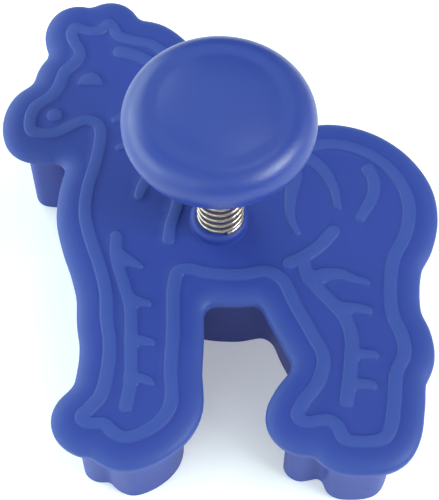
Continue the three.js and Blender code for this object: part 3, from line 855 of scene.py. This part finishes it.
def stamp_shell():
    """Embossing plate with the drawing in relief under it and a hub on its back."""
    shell = Shell()
    depth_field = -figure_field - (WALL_INSIDE + STAMP_GAP)
    (outline,) = contours(depth_field, 0)

    def height(depth, relief):
        up = ridge(relief)
        # The relief's lines carry the same painted sheen, a paler colour.
        return STAMP_BOTTOM + edge_drop(depth, STAMP_EDGE, STAMP_EDGE) - RELIEF_DEPTH * up, up

    relief_sheet(shell, outline, depth_field, drawing, edge_levels(STAMP_EDGE, STAMP_STEPS), height)
    back_edge = (-STAMP_BACK_EDGE, STAMP_TOP - STAMP_BACK_EDGE)
    shell.walls(outline, [
        (0, STAMP_BOTTOM + STAMP_EDGE),
        *arc(back_edge, STAMP_BACK_EDGE, 0, 90, STAMP_STEPS),
    ])
    hub_foot = (STAMP_HUB_RADIUS + STAMP_HUB_FILLET, STAMP_TOP + STAMP_HUB_FILLET)
    hub_edge = (STAMP_HUB_RADIUS - STAMP_HUB_ROUNDING, STAMP_HUB_TOP - STAMP_HUB_ROUNDING)
    shell.flat(outline - outward(outline) * STAMP_BACK_EDGE, circle(hub_foot[0]), STAMP_TOP)
    socket_floor = STAMP_BOTTOM + STAMP_SOCKET_WEB
    shell.lathe([
        *arc(hub_foot, STAMP_HUB_FILLET, 270, 180, FILLET_STEPS),
        *arc(hub_edge, STAMP_HUB_ROUNDING, 0, 90, STAMP_STEPS),
        (SOCKET_RADIUS, STAMP_HUB_TOP),
        (SOCKET_RADIUS, socket_floor),
        (0, socket_floor),
    ])
    return shell.object("stamp_relief", stamp_blue)


def spring_coil():
    """One wire wound with closed ends, from the collar's top into the knob's pocket, loose at its foot."""
    low = COLLAR_TOP + FOOT_REST + WIRE_RADIUS
    high = SPRING_HEAD - END_GAP - WIRE_RADIUS
    open_turns = (high - low - 2 * CLOSED_TURNS * CLOSED_PITCH) / SPRING_PITCH
    turns = open_turns + 2 * CLOSED_TURNS
    at = np.linspace(0, turns, round(turns * COIL_STEPS) + 1)
    from_end = np.minimum(at, turns - at)
    opening = smoothstep(CLOSED_TURNS - OPENING_TURNS, CLOSED_TURNS + OPENING_TURNS, from_end)
    pitch = CLOSED_PITCH + (SPRING_PITCH - CLOSED_PITCH) * opening
    climb = np.concatenate([[0], np.cumsum((pitch[1:] + pitch[:-1]) / 2 * np.diff(at))])
    z = low + (high - low) * climb / climb[-1]
    angle = WIRE_START + 2 * math.pi * at
    out = np.stack([np.cos(angle), np.sin(angle), np.zeros(len(at))], axis=1)
    lean = np.outer((high - z) / (high - low), FOOT_SHIFT)
    centre = np.column_stack([AXIS + COIL_RADIUS * out[:, :2] + lean, z])
    along = np.gradient(centre, axis=0)
    along = along / np.linalg.norm(along, axis=1)[:, None]
    across = np.cross(along, out)
    round_wire = np.linspace(0, 2 * math.pi, WIRE_SIDES, endpoint=False)
    sides = [centre + WIRE_RADIUS * (out * math.cos(a) + across * math.sin(a)) for a in round_wire]
    rings = np.stack(sides, axis=1)
    shell = Shell()
    shell.joined(rings)
    for end in (rings[0], rings[-1]):
        shell.add(end, [tuple(range(WIRE_SIDES))])
    return shell.object("spring_coil", wire_steel)


def fit(piece, node, body):
    """Stand a piece in for a node of the frame."""
    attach(piece, body)
    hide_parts(node)


fit(cutter_shell(), "cutter_body", "cutter")
fit(knob_shell(), "knob", "plunger")
fit(stem_shell(), "plunger_stem", "plunger")
fit(stamp_shell(), "stamp_plate", "plunger")
spring = spring_coil()
fit(spring, "return_spring", "cutter")
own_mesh(spring)


# Stage, in metres and watts

WHITE = (1, 1, 1, 1)
FLOOR_SIZE = 4.0
FLOOR_COLOUR = (0.88, 0.88, 0.88, 1)
FLOOR_ROUGHNESS = 0.8
FLOOR_EMISSION = 0.3
WORLD_STRENGTH = 0.04
AIM = (0, 0, 0.03)
COOL = (0.88, 1.0, 0.97)
LEFT_COOL = (0.80, 1.0, 0.94)
# Soft lights: name, place, size, power and colour
PANELS = [
    ("left_back_panel", (-0.45, 0.45, 0.33), (0.55, 0.55), 3.2, LEFT_COOL),
    ("left_side_panel", (-0.64, 0.0, 0.19), (0.8, 0.36), 3.85, LEFT_COOL),
    ("left_front_panel", (-0.45, -0.45, 0.35), (0.6, 0.6), 1.6, LEFT_COOL),
    ("front_panel", (0.0, -0.90, 0.60), (1.6, 1.0), 2.4, COOL),
    ("high_front_panel", (0.0, -0.30, 0.80), (1.4, 0.9), 2.3, COOL),
    ("right_key", (0.56, -0.24, 0.42), (0.45, 0.16), 3.9, COOL),
    ("right_high_panel", (0.50, -0.20, 0.55), (0.3, 0.2), 1.0, COOL),
    ("right_side_panel", (0.62, 0.0, 0.22), (0.6, 0.3), 0.7, COOL),
    ("back_panel", (0.0, 0.35, 0.60), (0.4, 0.4), 0.4, COOL),
    ("top_panel", (0.16, 0.17, 0.77), (0.16, 0.16), 0.42, COOL),
    ("right_back_panel", (0.45, 0.45, 0.35), (0.5, 0.5), 0.5, COOL),
]


def white_floor():
    """Plain pale floor under the cutting edge."""
    material = bpy.data.materials.new("floor_white")
    _, _, bsdf = tree_of(material)
    bsdf.inputs["Base Color"].default_value = FLOOR_COLOUR
    bsdf.inputs["Roughness"].default_value = FLOOR_ROUGHNESS
    bsdf.inputs["Emission Color"].default_value = WHITE
    bsdf.inputs["Emission Strength"].default_value = FLOOR_EMISSION
    mesh = bpy.data.meshes.new("floor")
    half = FLOOR_SIZE / 2
    corners = [(-half, -half, 0), (half, -half, 0), (half, half, 0), (-half, half, 0)]
    mesh.from_pydata(corners, [], [(0, 1, 2, 3)])
    mesh.materials.append(material)
    floor = placed("floor", mesh)


def softbox(name, place, size, power, colour):
    """Rectangular area light that looks at the stamp."""
    data = bpy.data.lights.new(name, "AREA")
    data.shape = "RECTANGLE"
    data.size, data.size_y = size
    data.energy = power
    data.color = colour
    light = placed(name, data)
    light.location = place
    light.rotation_euler = (Vector(AIM) - Vector(place)).to_track_quat("-Z", "Y").to_euler()


white_floor()
for panel in PANELS:
    softbox(*panel)

world = bpy.data.worlds.new("studio")
world.use_nodes = True
sky = world.node_tree.nodes["Background"]
sky.inputs["Color"].default_value = WHITE
sky.inputs["Strength"].default_value = WORLD_STRENGTH
scene = bpy.context.scene
scene.world = world
scene.view_settings.view_transform = "Standard"

# Camera at the photograph's place, in millimetres; the image is 500 high and 439 wide
CAMERA_TARGET = (0.431, -4.625, 17.5)
CAMERA_DISTANCE = 199.94
CAMERA_ELEVATION = math.radians(60.8)
FOCAL_PIXELS = 1449.0
IMAGE_HEIGHT = 500.0
SENSOR = 36.0
CLIP_START = 10.0

camera_data = bpy.data.cameras.new("camera")
camera_data.sensor_width = SENSOR
camera_data.lens = FOCAL_PIXELS / IMAGE_HEIGHT * SENSOR
camera_data.clip_start = CLIP_START * MM
camera = placed("camera", camera_data)
back = Vector((0, -math.cos(CAMERA_ELEVATION), math.sin(CAMERA_ELEVATION)))
camera.location = (Vector(CAMERA_TARGET) + back * CAMERA_DISTANCE) * MM
camera.rotation_euler = (-back).to_track_quat("-Z", "Y").to_euler()
scene.camera = camera
